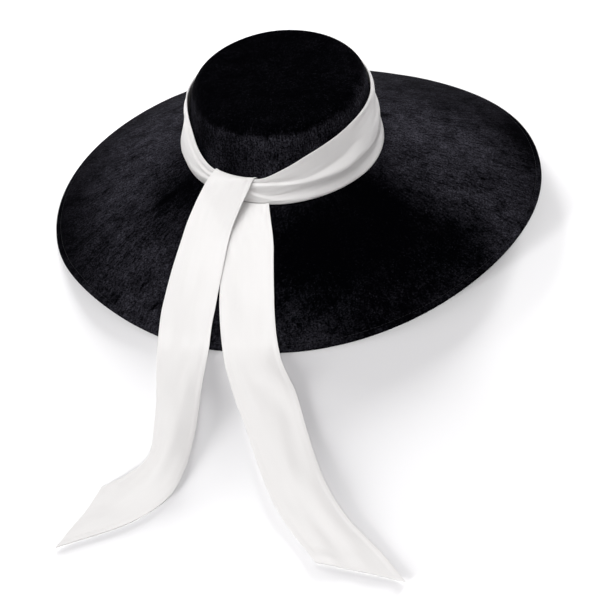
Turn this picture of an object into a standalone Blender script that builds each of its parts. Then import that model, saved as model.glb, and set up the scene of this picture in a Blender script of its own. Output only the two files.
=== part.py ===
"""A wide-brimmed velvet hat lying on its rim, with a satin scarf wrapped round the low oval crown.

Metres, +Z up. X runs across the hat and Y along it, with the front and the scarf's tails towards -Y.
The shapes are worked out round the middle of the crown's foot, with the floor at z = 0. At the end
the parts are moved together so that the middle of the whole object's base is the origin.
"""

from math import atan2, cos, degrees, hypot, pi, radians, sin

import bpy
from mathutils import Vector

# Crown: an oval felt cap with straight tapering sides and a flat tip
CROWN_LENGTH = 0.200
CROWN_WIDTH = 0.1775
CROWN_HEIGHT = 0.0625
TIP_LENGTH = 0.178
TIP_WIDTH = 0.159
TIP_SHIFT = 0.003
TIP_ROUNDING = 0.0085
FELT_THICKNESS = 0.0025

# Brim: it slopes down from the crown's foot to the rim that the hat lies on
BRIM_LENGTH = 0.4725
BRIM_WIDTH = 0.4485
BRIM_DROP = 0.064
BRIM_SHIFT = 0.0057
BRIM_BOW = 0.002
LIFT_HEIGHT = 0.017

# Scarf: a long strip of doubled satin, gathered where its ends cross at the front
SCARF_WIDTH = 0.046
SATIN_THICKNESS = 0.0012
WRAP_THICKNESS = 0.0025
GATHER_HEIGHT = 0.0215
GATHER_AZIMUTH = 243
LEFT_TAIL_LENGTH = 0.409
RIGHT_TAIL_LENGTH = 0.448
TAIL_POINT = 0.055

# The tails' starts at the gather: degrees to their middle, and to either side of it
LEFT_START_TURN = -1
LEFT_START_SPREAD = 14
RIGHT_START_TURN = 7
RIGHT_START_SPREAD = 10.5

# Clearances between the pieces
GAP = 0.0003
CLOTH_GAP = 0.0005

# Spacing of the rows and columns that the surfaces are drawn through
ROUND_STEPS = 64
SHOULDER_STEPS = 4
TIP_ROWS = (0.6, 0.25)
BRIM_ROWS = (1, 0.97, 0.86, 0.72, 0.57, 0.42, 0.27, 0.13, 0)
TAIL_STEP = 0.0075
FIRST_TAIL_STEP = 0.003
ROUTE_STEP = 0.002
ACROSS = (-1, -0.6, -0.2, 0.2, 0.6, 1)

# How far a tail's start and its slanting end reach along it, as shares of the scarf's width and the point
START_REACH = 0.8
POINT_REACH = 1.3
RIM_EASE = 0.0075
SHARP_ANGLE = 40

# Where the stiff brim stands off the floor
BRIM_LIFTS = (
    # azimuth, half width in degrees, share of the lift height
    (-22, 70, 1.00),
    (145, 55, 0.50),
    (215, 35, 0.45),
)

# How far the wrap reaches round from the gather before it has its full width
GATHER_SPREAD = (
    # side, degrees held gathered, degrees to the full width
    (1, 4, 67),
    (-1, 16, 37),
)

# The wrap's outer side, from its lower edge to its top edge
PLEATS = (
    # share of the height at the gather and away from it, share of the thickness there and away
    (0.00, 0.00, 0.95, 1.05),
    (0.14, 0.07, 1.90, 1.95),
    (0.36, 0.26, 2.00, 1.90),
    (0.52, 0.40, 1.25, 1.15),
    (0.72, 0.56, 2.05, 1.80),
    (0.84, 0.70, 1.50, 1.20),
    (0.92, 0.90, 1.20, 0.95),
    (1.00, 1.00, 0.85, 0.75),
)

# The tails' ways, from the crown to their points. A heading of -90 runs straight to the front.
LEFT_TAIL = (
    # share of the length, heading, share of the width, lifts of the right edge, the middle and the left edge
    (0.000, -134.0, 1.06, 0.50, 0.48, 0.50),
    (0.013, -138.5, 1.05, 0.55, 0.54, 0.56),
    (0.023, -139.5, 1.05, 0.50, 0.49, 0.49),
    (0.031, -141.0, 1.05, 0.39, 0.41, 0.41),
    (0.040, -139.5, 1.12, 0.23, 0.26, 0.27),
    (0.050, -140.0, 1.07, 0.15, 0.17, 0.18),
    (0.070, -137.0, 0.98, 0.06, 0.09, 0.10),
    (0.120, -117.5, 0.99, 0.03, 0.07, 0.07),
    (0.200, -107.0, 1.01, 0.01, 0.06, 0.06),
    (0.280, -109.5, 1.07, 0.00, 0.04, 0.04),
    (0.360, -98.5, 0.98, 0.00, 0.02, 0.00),
    (0.440, -95.5, 0.86, 0.00, 0.06, 0.00),
    (0.520, -95.0, 0.76, 0.00, 0.14, 0.00),
    (0.600, -97.0, 0.73, 0.01, 0.18, 0.00),
    (0.660, -98.0, 0.67, 0.03, 0.20, 0.00),
    (0.700, -104.0, 0.66, 0.06, 0.20, 0.00),
    (0.740, -117.5, 0.72, 0.08, 0.17, 0.00),
    (0.780, -133.0, 0.93, 0.06, 0.11, 0.00),
    (0.820, -147.5, 1.04, 0.03, 0.06, 0.00),
    (0.870, -158.5, 1.09, 0.01, 0.03, 0.00),
    (0.930, -165.5, 1.03, 0.00, 0.01, 0.00),
    (1.000, -158.5, 0.96, 0.00, 0.00, 0.00),
)
RIGHT_TAIL = (
    # share of the length, heading, share of the width, lifts of the right edge, the middle and the left edge
    (0.000, -102.5, 0.80, 0.02, 0.02, 0.02),
    (0.100, -99.0, 0.99, 0.00, 0.00, 0.00),
    (0.200, -97.0, 1.02, 0.00, 0.02, 0.00),
    (0.280, -90.5, 1.00, 0.00, 0.01, 0.00),
    (0.360, -81.5, 1.00, 0.00, 0.04, 0.00),
    (0.440, -80.5, 1.05, 0.00, 0.07, 0.01),
    (0.520, -84.0, 0.99, 0.01, 0.06, 0.00),
    (0.600, -83.0, 0.96, 0.00, 0.07, 0.01),
    (0.680, -80.5, 0.93, 0.00, 0.09, 0.02),
    (0.760, -73.0, 0.91, 0.00, 0.07, 0.02),
    (0.840, -65.5, 0.90, 0.00, 0.04, 0.01),
    (0.920, -66.0, 0.98, 0.00, 0.01, 0.00),
    (1.000, -68.0, 0.93, 0.00, 0.00, 0.00),
)


def smooth(t):
    """0 to 1 with soft ends, for t from 0 to 1 and beyond."""
    t = min(max(t, 0), 1)
    return t * t * (3 - 2 * t)


def soft_max(a, b, softness):
    """The higher of two heights, with the corner between them rounded."""
    near = max(softness - abs(a - b), 0) / softness
    return max(a, b) + near * near * softness / 4


def table_value(table, share, column):
    """One column of a table whose first column is the share along, read between its rows."""
    for before, after in zip(table, table[1:]):
        if share <= after[0]:
            part = (share - before[0]) / (after[0] - before[0])
            return before[column] + (after[column] - before[column]) * part
    return table[-1][column]


def turned_from(azimuth, other):
    """Degrees from the other azimuth to this one, from -180 to 180."""
    return (azimuth - other + 180) % 360 - 180


def oval_radius(length, width, azimuth):
    a = radians(azimuth)
    return 1 / hypot(cos(a) / (width / 2), sin(a) / (length / 2))


def on_azimuth(radius, azimuth, height):
    return Vector((radius * cos(radians(azimuth)), radius * sin(radians(azimuth)), height))


def round_azimuths():
    return [360 * step / ROUND_STEPS for step in range(ROUND_STEPS)]


def wall_radius(azimuth, height):
    """The crown's outer side at this height above its foot."""
    part = height / CROWN_HEIGHT
    foot = oval_radius(CROWN_LENGTH, CROWN_WIDTH, azimuth)
    tip = oval_radius(TIP_LENGTH, TIP_WIDTH, azimuth) + TIP_SHIFT * cos(radians(azimuth))
    return foot + (tip - foot) * part


def rim_radius(azimuth):
    return oval_radius(BRIM_LENGTH, BRIM_WIDTH, azimuth) + BRIM_SHIFT * cos(radians(azimuth))


def rim_height(azimuth):
    """The rim's upper side above the floor: the felt's own thickness, and more where the rim lifts."""
    slope = atan2(BRIM_DROP, (BRIM_LENGTH - CROWN_LENGTH) / 2)
    height = FELT_THICKNESS * cos(slope)
    for middle, half_width, share in BRIM_LIFTS:
        turn = turned_from(azimuth, middle) / half_width
        if abs(turn) < 1:
            height += LIFT_HEIGHT * share * cos(turn * pi / 2) ** 2
    return height


def brim_height(azimuth, radius):
    """The height of the brim's upper side, also carried on past its two edges."""
    foot = oval_radius(CROWN_LENGTH, CROWN_WIDTH, azimuth) - FELT_THICKNESS
    share = (radius - foot) / (rim_radius(azimuth) - foot)
    rim = rim_height(azimuth)
    bow = BRIM_BOW * 4 * share * (1 - share) if 0 < share < 1 else 0
    return BRIM_DROP + (rim - BRIM_DROP) * share + bow


def ground_height(x, y):
    """What the tails lie on: just above the brim, and past the rim the floor."""
    brim = brim_height(degrees(atan2(y, x)), hypot(x, y))
    return soft_max(brim + CLOTH_GAP, 0, RIM_EASE)


def spread_from_gather(azimuth):
    """0 where the wrap is gathered, 1 where it has its full width."""
    turn = turned_from(azimuth, GATHER_AZIMUTH)
    for side, held, full in GATHER_SPREAD:
        if turn * side >= 0:
            return smooth((abs(turn) - held) / (full - held))
    return 1


def wrap_height(azimuth):
    return GATHER_HEIGHT + (SCARF_WIDTH - GATHER_HEIGHT) * spread_from_gather(azimuth)


def wrap_radius(azimuth):
    """The widest that the wrap stands out over the brim."""
    return wall_radius(azimuth, 0) + GAP + WRAP_THICKNESS * max(row[3] for row in PLEATS)


def sheet(name, rows, closed=False, ring=False, tip=None):
    """A surface through rows of points, each of whose columns meet those of the next row.

    Closed joins the last column to the first, and ring the last row to the first.
    """
    points = [point for row in rows for point in row]
    columns = len(rows[0])
    faces = []
    for row in range(len(rows) if ring else len(rows) - 1):
        here = row * columns
        beyond = (row + 1) % len(rows) * columns
        for column in range(columns if closed else columns - 1):
            beside = (column + 1) % columns
            faces.append((here + column, here + beside, beyond + beside, beyond + column))
    if tip is not None:
        last = (len(rows) - 1) * columns
        for column in range(columns):
            faces.append((last + column, last + (column + 1) % columns, len(points)))
        points.append(tip)
    mesh = bpy.data.meshes.new(name)
    mesh.from_pydata(points, [], faces)
    mesh.shade_smooth()
    mesh.set_sharp_from_angle(angle=radians(SHARP_ANGLE))
    part = bpy.data.objects.new(name, mesh)
    hat.objects.link(part)
    return part


def thicken(part, thickness, offset):
    wall = part.modifiers.new("wall", "SOLIDIFY")
    wall.thickness = thickness
    wall.offset = offset
    wall.use_even_offset = True


def cover(part, name, rgb, roughness, sheen=0.0):
    """The cloth's colour, gloss and nap."""
    material = bpy.data.materials.new(name)
    material.use_nodes = True
    surface = material.node_tree.nodes["Principled BSDF"]
    surface.inputs["Base Color"].default_value = (*rgb, 1)
    surface.inputs["Roughness"].default_value = roughness
    surface.inputs["Metallic"].default_value = 0
    surface.inputs["Sheen Weight"].default_value = sheen
    part.data.materials.append(material)


def make_crown():
    """The cap: straight tapering sides, a rounded shoulder and a flat tip, open underneath."""
    shoulder = CROWN_HEIGHT - TIP_ROUNDING
    lean = (CROWN_LENGTH - TIP_LENGTH) / 2 / CROWN_HEIGHT
    profile = [(GAP + FELT_THICKNESS * lean, 0), (shoulder / 2, 0)]
    for step in range(SHOULDER_STEPS + 1):
        turn = step / SHOULDER_STEPS * pi / 2
        profile.append((shoulder + TIP_ROUNDING * sin(turn), TIP_ROUNDING * (1 - cos(turn))))
    rows = []
    for height, inset in profile:
        radii = [(azimuth, wall_radius(azimuth, height) - inset) for azimuth in round_azimuths()]
        rows.append([on_azimuth(radius, azimuth, BRIM_DROP + height) for azimuth, radius in radii])
    middle = Vector((TIP_SHIFT, 0, BRIM_DROP + CROWN_HEIGHT))
    rows += [[middle.lerp(point, share) for point in rows[-1]] for share in TIP_ROWS]
    crown = sheet("crown", rows, closed=True, tip=middle)
    thicken(crown, FELT_THICKNESS, -1)
    cover(crown, "crown velvet", (0.006, 0.006, 0.009), 0.85, 0.4)


def make_brim():
    """A sloping oval ring of felt, from the rim in to the edge that the crown stands on."""
    rows = []
    for share in BRIM_ROWS:
        row = []
        for azimuth in round_azimuths():
            foot = oval_radius(CROWN_LENGTH, CROWN_WIDTH, azimuth) - FELT_THICKNESS
            radius = foot + (rim_radius(azimuth) - foot) * share
            row.append(on_azimuth(radius, azimuth, brim_height(azimuth, radius)))
        rows.append(row)
    brim = sheet("brim", rows, closed=True)
    thicken(brim, FELT_THICKNESS, -1)
    cover(brim, "brim velvet", (0.007, 0.007, 0.010), 0.85, 0.4)


def wrap_section(azimuth):
    """One closed section through the wrap: up its inner side and down its pleated outer side."""
    spread = spread_from_gather(azimuth)
    top = wrap_height(azimuth)
    places = [(top * share, 0) for share in (0, 0.5, 1)]
    for low, wide, thick_low, thick_wide in reversed(PLEATS):
        height = top * (low + (wide - low) * spread)
        places.append((height, WRAP_THICKNESS * (thick_low + (thick_wide - thick_low) * spread)))
    section = []
    for height, outset in places:
        radius = wall_radius(azimuth, height) + GAP + outset
        bottom = brim_height(azimuth, radius) + GAP
        section.append(on_azimuth(radius, azimuth, bottom if height == 0 else BRIM_DROP + height))
    return section


def make_scarf_wrap():
    """The scarf's turn round the crown: a ring of pleats, low at the front where they gather."""
    rows = [wrap_section(azimuth) for azimuth in round_azimuths()]
    wrap = sheet("scarf_wrap", rows, closed=True, ring=True)
    cover(wrap, "wrap satin", (0.86, 0.85, 0.83), 0.35)


def left_start(v):
    """Where the left tail comes out between the crown and the wrap's top edge."""
    azimuth = GATHER_AZIMUTH + LEFT_START_TURN - LEFT_START_SPREAD * v
    return on_azimuth(wall_radius(azimuth, GATHER_HEIGHT) + 2 * GAP, azimuth, 0).xy


def right_start(v):
    """Where the right tail comes out from under the wrap's lower edge."""
    azimuth = GATHER_AZIMUTH + RIGHT_START_TURN - RIGHT_START_SPREAD * v
    return on_azimuth(wrap_radius(azimuth) + GAP, azimuth, 0).xy


def tail_distances(length):
    """Rows along a tail, closer together where it turns over the wrap."""
    distances = [0]
    while distances[-1] < length - TAIL_STEP:
        growth = smooth(distances[-1] / SCARF_WIDTH)
        distances.append(distances[-1] + FIRST_TAIL_STEP + (TAIL_STEP - FIRST_TAIL_STEP) * growth)
    return distances + [length]


def tail_route(table, length, place):
    """Places seen from above along the middle of a tail, a short step apart."""
    steps = round(length / ROUTE_STEP)
    route = [place]
    for step in range(steps):
        heading = radians(table_value(table, (step + 0.5) / steps, 1))
        route.append(route[-1] + Vector((cos(heading), sin(heading))) * length / steps)
    return route


def tail_point(table, route, share, v):
    """The point at this share of the way and this far across, seen from above, and its lift."""
    place = share * (len(route) - 1)
    step = min(int(place), len(route) - 2)
    middle_of_tail = route[step].lerp(route[step + 1], place - step)
    heading = radians(table_value(table, share, 1))
    side = Vector((sin(heading), -cos(heading)))
    half = SCARF_WIDTH * table_value(table, share, 2) / 2
    right, middle, left = [table_value(table, share, column) for column in (3, 4, 5)]
    lift = middle + v * (right - left) / 2 + v * v * ((right + left) / 2 - middle)
    return middle_of_tail + side * v * half, lift * SCARF_WIDTH


def make_tail(name, table, length, start):
    """A strip of satin laid over the brim and on over the floor, cut to a slanting point."""
    route = tail_route(table, length, start(0))
    fitted = [start(v) - tail_point(table, route, 0, v)[0] for v in ACROSS]
    reach = POINT_REACH * TAIL_POINT
    rows = []
    for distance in tail_distances(length):
        slant = max(distance - length + reach, 0) / reach
        fade = 1 - smooth(distance / (START_REACH * SCARF_WIDTH))
        points = []
        for v, offset in zip(ACROSS, fitted):
            cut = TAIL_POINT * slant * (1 + v) / 2
            place, lift = tail_point(table, route, (distance - cut) / length, v)
            x, y = place + offset * fade
            points.append(Vector((x, y, ground_height(x, y) + lift)))
        rows.append(points)
    tail = sheet(name, rows)
    thicken(tail, SATIN_THICKNESS, 1)
    cover(tail, name.replace("scarf_", "") + " satin", (0.87, 0.86, 0.84), 0.35)


def centre_on_base():
    """Moves the parts together until the middle of the whole object's base is the origin."""
    bpy.context.view_layer.update()
    graph = bpy.context.evaluated_depsgraph_get()
    points = [vertex.co for part in hat.objects for vertex in part.evaluated_get(graph).data.vertices]
    low = Vector([min(point[axis] for point in points) for axis in range(3)])
    high = Vector([max(point[axis] for point in points) for axis in range(3)])
    base = Vector(((low.x + high.x) / 2, (low.y + high.y) / 2, low.z))
    for part in hat.objects:
        part.location = -base


for old in list(bpy.data.objects):
    bpy.data.objects.remove(old)
hat = bpy.data.collections.new("wide_brim_hat")
bpy.context.scene.collection.children.link(hat)

make_crown()
make_brim()
make_scarf_wrap()
make_tail("scarf_tail_left", LEFT_TAIL, LEFT_TAIL_LENGTH, left_start)
make_tail("scarf_tail_right", RIGHT_TAIL, RIGHT_TAIL_LENGTH, right_start)
centre_on_base()
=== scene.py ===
"""A wide-brimmed velvet hat lying on its rim, with a satin scarf wrapped round its low oval crown.

The shapes are worked out round the middle of the crown's foot, with the floor at z = 0, X across the
hat and Y along it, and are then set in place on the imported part. Lengths are in metres.
"""

import bmesh
import bpy
import numpy as np
from mathutils import Matrix, Vector, noise


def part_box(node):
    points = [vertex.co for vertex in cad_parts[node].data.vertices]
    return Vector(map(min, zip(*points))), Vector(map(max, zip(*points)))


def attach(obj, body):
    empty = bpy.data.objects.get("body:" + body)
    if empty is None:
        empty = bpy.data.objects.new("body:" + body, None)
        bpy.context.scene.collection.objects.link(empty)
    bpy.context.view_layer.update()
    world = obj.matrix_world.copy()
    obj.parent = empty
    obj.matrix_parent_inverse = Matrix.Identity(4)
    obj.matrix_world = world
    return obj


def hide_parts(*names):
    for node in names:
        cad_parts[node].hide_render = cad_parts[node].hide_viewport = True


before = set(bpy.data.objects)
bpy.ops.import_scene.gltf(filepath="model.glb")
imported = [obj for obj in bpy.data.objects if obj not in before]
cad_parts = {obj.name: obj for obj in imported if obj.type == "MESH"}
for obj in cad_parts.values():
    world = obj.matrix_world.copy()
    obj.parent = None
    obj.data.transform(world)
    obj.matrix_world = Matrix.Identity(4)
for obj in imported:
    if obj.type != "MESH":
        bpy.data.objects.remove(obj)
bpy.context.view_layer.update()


# The crown. A cap of stiff felt with black velvet laid over it: its sides lean in a little, its
# shoulder is softly rounded and its tip is flat. It is open underneath, and sewn to the brim by
# its lower edge, which the scarf covers.
CROWN_LENGTH = 0.200
CROWN_WIDTH = 0.1775
CROWN_HEIGHT = 0.0645
TIP_LENGTH = 0.1817
TIP_WIDTH = 0.1532
TIP_SHIFT = 0.0042
TIP_ROUNDING = 0.0090
FELT_THICKNESS = 0.0025
FOOT_HEIGHT = 0.064
CROWN_STEPS = 256
CROWN_WALL_RINGS = 18
CROWN_SHOULDER_RINGS = 10
CROWN_TIP_RINGS = 17
CROWN_DENT = 0.0004
CROWN_DENT_SPAN = 0.055
# the velvet's own black, and the painted sheen mixed into it as its lighter tone
VELVET_DARK = (0.0003, 0.0003, 0.0007)
VELVET_PAINTED_SHEEN = (0.0265, 0.0258, 0.0325)
# painted sheen: how much lighter the crown's side is than its black tip, and where it fades out below
# the tip
CROWN_SIDE_PAINTED_SHEEN = 0.27
CROWN_SIDE_BELOW_TIP = 0.005
CROWN_SIDE_FADE = 0.007
CROWN_RAGGED = (
    # how far the lower edges of the two tones wander, span of the wandering, seed
    (0.0022, 0.005, 6),
    (0.0030, 0.018, 7),
)
# bands of painted sheen round the shoulder, just below the tip
CROWN_PAINTED_SHOULDER_SHEEN = (
    # how far below the tip, half height, azimuth, degrees round (np.inf is all round), more painted
    # sheen
    (0.0105, 0.0035, 0, np.inf, 0.17),
    (0.0062, 0.0032, 340, 17, 0.45),
)
# patches of more or less painted sheen round the crown's side
CROWN_PAINTED_SHEEN_PATCHES = (
    # azimuth, degrees round, more or less painted sheen
    (212, 9, -0.22),
    (240, 9, -0.10),
    (266, 10, 0.32),
    (289, 6, 0.26),
    (300, 7, -0.08),
    (316, 8, -0.08),
    (352, 16, 0.30),
)
# the nap's streaks, clouds and grain: how far the streaks run down the side, the noise that each
# is taken from, how strong each is, and how much of them shows where sheen is painted and elsewhere
PILE_DOWN = 1.6
NAP_STREAKS = {"scale": 75, "detail": 3, "roughness": 0.65}
NAP_CLOUDS = {"scale": 55, "detail": 4, "roughness": 0.6}
NAP_GRAIN = {"scale": 640, "detail": 3, "roughness": 0.75}
STREAK_STRENGTH = 3.9
CLOUD_STRENGTH = 2.9
LOOSE_WHERE_SHEEN_PAINTED = 0.85
LOOSE_EVERYWHERE = 0.09
SPECK_STRENGTH = 5.8
# painted glints: bright specks from the finest grain, added to the lighter tone even where the velvet
# is black
SPARK_FROM = 0.10
SPARK_STRENGTH = 2.4
GLINT_STRENGTH = 0.6
SEED_APART = (7.3, 3.1, 5.7)
crown_low, crown_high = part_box("crown")
MIDDLE = np.array([(crown_low.x + crown_high.x) / 2, (crown_low.y + crown_high.y) / 2, 0])


def smooth(t):
    """0 to 1 with soft ends."""
    t = np.clip(t, 0, 1)
    return t * t * (3 - 2 * t)


def swell(distance, width):
    """1 where the distance is 0, falling softly to 0 a few widths away."""
    return np.exp(-((distance / width) ** 2))


def soft_noise(points, span, seed):
    """Smooth bumps from about -1 to 1, each about this span wide. Each seed has bumps of its own."""
    shift = Vector([seed * step for step in SEED_APART])
    return np.array([noise.noise(Vector(point) / span + shift) for point in points])


def oval_radius(length, width, azimuth):
    """How far an oval of this length and width is from its middle at this azimuth."""
    a = np.radians(azimuth)
    return 1 / np.hypot(np.cos(a) / (width / 2), np.sin(a) / (length / 2))


def on_azimuth(radius, azimuth, height):
    """Points this far from the middle, at this azimuth in degrees and at this height."""
    a = np.radians(azimuth)
    return np.stack(np.broadcast_arrays(radius * np.cos(a), radius * np.sin(a), height), -1)


def azimuth_and_radius(points):
    """Where the points are round the middle, seen from above."""
    return np.degrees(np.arctan2(points[:, 1], points[:, 0])), np.hypot(points[:, 0], points[:, 1])


def turned_from(azimuth, other):
    """Degrees from the other azimuth to this one, from -180 to 180."""
    return (azimuth - other + 180) % 360 - 180


def wall_radius(azimuth, height):
    """The crown's outer side at this height above its foot."""
    foot = oval_radius(CROWN_LENGTH, CROWN_WIDTH, azimuth)
    tip = oval_radius(TIP_LENGTH, TIP_WIDTH, azimuth) + TIP_SHIFT * np.cos(np.radians(azimuth))
    return foot + (tip - foot) * height / CROWN_HEIGHT


def make_object(name, points, faces, values=None):
    """A piece from points round the middle of the crown's foot, with any values at its points."""
    mesh = bpy.data.meshes.new(name)
    mesh.from_pydata((np.asarray(points) + MIDDLE).tolist(), [], faces)
    for label, numbers in (values or {}).items():
        attribute = mesh.attributes.new(label, "FLOAT", "POINT")
        attribute.data.foreach_set("value", np.asarray(numbers, np.float32))
    shape = bmesh.new()
    shape.from_mesh(mesh)
    bmesh.ops.recalc_face_normals(shape, faces=shape.faces)
    shape.to_mesh(mesh)
    shape.free()
    mesh.shade_smooth()
    piece = bpy.data.objects.new(name, mesh)
    bpy.context.scene.collection.objects.link(piece)
    return piece


def ring_faces(first, second, count):
    """Faces between two rings of points, given where each starts."""
    return [
        (first + i, first + (i + 1) % count, second + (i + 1) % count, second + i)
        for i in range(count)
    ]


def crown_profile():
    """Heights above the foot, insets from the leaning side and shares of the tip's radius."""
    shoulder = CROWN_HEIGHT - TIP_ROUNDING
    wall = [(height, 0.0, 1.0) for height in np.linspace(0, shoulder, CROWN_WALL_RINGS)[:-1]]
    turn = np.linspace(0, np.pi / 2, CROWN_SHOULDER_RINGS)
    heights = shoulder + TIP_ROUNDING * np.sin(turn)
    insets = TIP_ROUNDING * (1 - np.cos(turn))
    shares = np.linspace(1, 0, CROWN_TIP_RINGS)[1:-1]
    top = [(CROWN_HEIGHT, TIP_ROUNDING, share) for share in shares]
    return wall + [(h, inset, 1.0) for h, inset in zip(heights, insets)] + top


def crown_rings(wall):
    """Rings of the crown's outer side, or of its inner side one felt wall further in."""
    azimuths = np.arange(CROWN_STEPS) * 360 / CROWN_STEPS
    rings = []
    for height, inset, share in crown_profile():
        further_in = wall if inset < TIP_ROUNDING else 0
        radius = (wall_radius(azimuths, height) - inset - further_in) * share
        down = wall * smooth(inset / TIP_ROUNDING)
        ring = on_azimuth(radius, azimuths, FOOT_HEIGHT + height - down)
        ring[:, 0] += TIP_SHIFT * (1 - share)
        rings.append(ring)
    return rings


outer = crown_rings(0)
inner = crown_rings(FELT_THICKNESS)
tip_middle = np.array([[TIP_SHIFT, 0, FOOT_HEIGHT + CROWN_HEIGHT]])
rings = outer[::-1] + inner
points = np.concatenate([tip_middle, *rings, tip_middle - [[0, 0, FELT_THICKNESS]]])
high_up = smooth((points[:, 2] - FOOT_HEIGHT) / CROWN_HEIGHT)
points[:, 2] += CROWN_DENT * soft_noise(points, CROWN_DENT_SPAN, seed=1) * high_up
faces = [(0, 1 + (i + 1) % CROWN_STEPS, 1 + i) for i in range(CROWN_STEPS)]
for k in range(len(rings) - 1):
    faces += ring_faces(1 + k * CROWN_STEPS, 1 + (k + 1) * CROWN_STEPS, CROWN_STEPS)
last = 1 + (len(rings) - 1) * CROWN_STEPS
faces += [(len(points) - 1, last + i, last + (i + 1) % CROWN_STEPS) for i in range(CROWN_STEPS)]
ragged = sum(wander * soft_noise(points, span, seed) for wander, span, seed in CROWN_RAGGED)
below_tip = CROWN_HEIGHT - (points[:, 2] - FOOT_HEIGHT) + ragged
around, _ = azimuth_and_radius(points)
# painted sheen: the side lighter than the tip, in patches, fading out just below the tip
side = CROWN_SIDE_PAINTED_SHEEN + sum(
    more * swell(turned_from(around, middle), wide) for middle, wide, more in CROWN_PAINTED_SHEEN_PATCHES
)
side = side * smooth((below_tip - CROWN_SIDE_BELOW_TIP) / CROWN_SIDE_FADE)
# painted sheen in bands round the shoulder
painted_shoulder_sheen = sum(
    more * swell(below_tip - below, high) * swell(turned_from(around, middle), wide)
    for below, high, middle, wide, more in CROWN_PAINTED_SHOULDER_SHEEN
)
crown = make_object("velvet_crown", points, faces, {"painted_sheen": side + painted_shoulder_sheen})


def new_group(name, inputs, outputs):
    """An empty shader node group with these sockets: the group, its input and its output."""
    group = bpy.data.node_groups.new(name, "ShaderNodeTree")
    for label, kind in inputs:
        group.interface.new_socket(label, in_out="INPUT", socket_type=kind)
    for label, kind in outputs:
        group.interface.new_socket(label, in_out="OUTPUT", socket_type=kind)
    return group, group.nodes.new("NodeGroupInput"), group.nodes.new("NodeGroupOutput")


def maths(tree, operation, a, b=0.0):
    """A Math node on two sockets or numbers, giving its output."""
    node = tree.nodes.new("ShaderNodeMath")
    node.operation = operation
    for socket, value in zip(node.inputs, (a, b)):
        if isinstance(value, bpy.types.NodeSocket):
            tree.links.new(value, socket)
        else:
            socket.default_value = value
    return node.outputs[0]


def noise_at(tree, vector, scale, detail, roughness=0.5):
    """A Noise Texture's value at this vector."""
    node = tree.nodes.new("ShaderNodeTexNoise")
    node.inputs["Scale"].default_value = scale
    node.inputs["Detail"].default_value = detail
    node.inputs["Roughness"].default_value = roughness
    tree.links.new(vector, node.inputs["Vector"])
    return node.outputs["Fac"]


def mixed_colours(tree, factor):
    """A Mix node for colours: the sockets of its first and its second colour, and its result."""
    node = tree.nodes.new("ShaderNodeMix")
    node.data_type = "RGBA"
    node.clamp_factor = False
    tree.links.new(factor, node.inputs[0])
    return node.inputs[6], node.inputs[7], node.outputs[2]


def pile_direction_group():
    """Coordinates that are drawn out away from the crown, as velvet is when it is brushed outwards."""
    group, into, out = new_group(
        "pile direction", [("Position", "NodeSocketVector")], [("Vector", "NodeSocketVector")]
    )
    split = group.nodes.new("ShaderNodeSeparateXYZ")
    join = group.nodes.new("ShaderNodeCombineXYZ")
    group.links.new(into.outputs["Position"], split.inputs[0])
    x, y, z = split.outputs
    squares = maths(group, "ADD", maths(group, "MULTIPLY", x, x), maths(group, "MULTIPLY", y, y))
    reach = maths(group, "SQRT", squares)
    safe = maths(group, "MAXIMUM", reach, 0.001)
    group.links.new(maths(group, "DIVIDE", x, safe), join.inputs[0])
    group.links.new(maths(group, "DIVIDE", y, safe), join.inputs[1])
    drop = maths(group, "SUBTRACT", reach, z)
    group.links.new(maths(group, "MULTIPLY", drop, PILE_DOWN), join.inputs[2])
    group.links.new(join.outputs[0], out.inputs["Vector"])
    return group


def velvet_nap_group():
    """Velvet's black and its lighter tone of painted sheen, with streaks, specks and painted glints."""
    group, into, out = new_group(
        "velvet nap",
        [
            ("Position", "NodeSocketVector"),
            ("Along Pile", "NodeSocketVector"),
            ("Painted Sheen", "NodeSocketFloat"),
            ("Dark", "NodeSocketColor"),
            ("Light", "NodeSocketColor"),
        ],
        [("Color", "NodeSocketColor"), ("Height", "NodeSocketFloat")],
    )
    streaks = noise_at(group, into.outputs["Along Pile"], **NAP_STREAKS)
    clouds = noise_at(group, into.outputs["Position"], **NAP_CLOUDS)
    grain = noise_at(group, into.outputs["Position"], **NAP_GRAIN)
    painted_sheen = into.outputs["Painted Sheen"]
    # painted sheen: its amount, swung by the streaks and clouds, the more where more of it is painted
    lift = maths(group, "MULTIPLY", maths(group, "SUBTRACT", streaks, 0.5), STREAK_STRENGTH)
    drift = maths(group, "MULTIPLY", maths(group, "SUBTRACT", clouds, 0.5), CLOUD_STRENGTH)
    looser = maths(group, "MULTIPLY", painted_sheen, LOOSE_WHERE_SHEEN_PAINTED)
    loose = maths(group, "ADD", looser, LOOSE_EVERYWHERE)
    swing = maths(group, "MULTIPLY", maths(group, "ADD", lift, drift), loose)
    value = maths(group, "ADD", painted_sheen, swing)
    fine = maths(group, "SUBTRACT", grain, 0.5)
    speck = maths(group, "ADD", maths(group, "MULTIPLY", fine, SPECK_STRENGTH), 1.0)
    # painted glints: bright specks where the finest grain is highest
    brightest = maths(group, "MAXIMUM", maths(group, "SUBTRACT", fine, SPARK_FROM), 0.0)
    spark = maths(group, "MULTIPLY", brightest, SPARK_STRENGTH)
    glint = maths(group, "ADD", maths(group, "MULTIPLY", fine, GLINT_STRENGTH), spark)
    # the lighter tone's share: the painted sheen with its specks of grain, and the painted glints
    light = maths(group, "ADD", maths(group, "MULTIPLY", value, speck), glint)
    dark_colour, light_colour, tone = mixed_colours(group, maths(group, "MAXIMUM", light, 0.0))
    group.links.new(into.outputs["Dark"], dark_colour)
    group.links.new(into.outputs["Light"], light_colour)
    group.links.new(tone, out.inputs["Color"])
    group.links.new(maths(group, "ADD", grain, streaks), out.inputs["Height"])
    return group


PILE_DIRECTION = pile_direction_group()
VELVET_NAP = velvet_nap_group()


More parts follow.
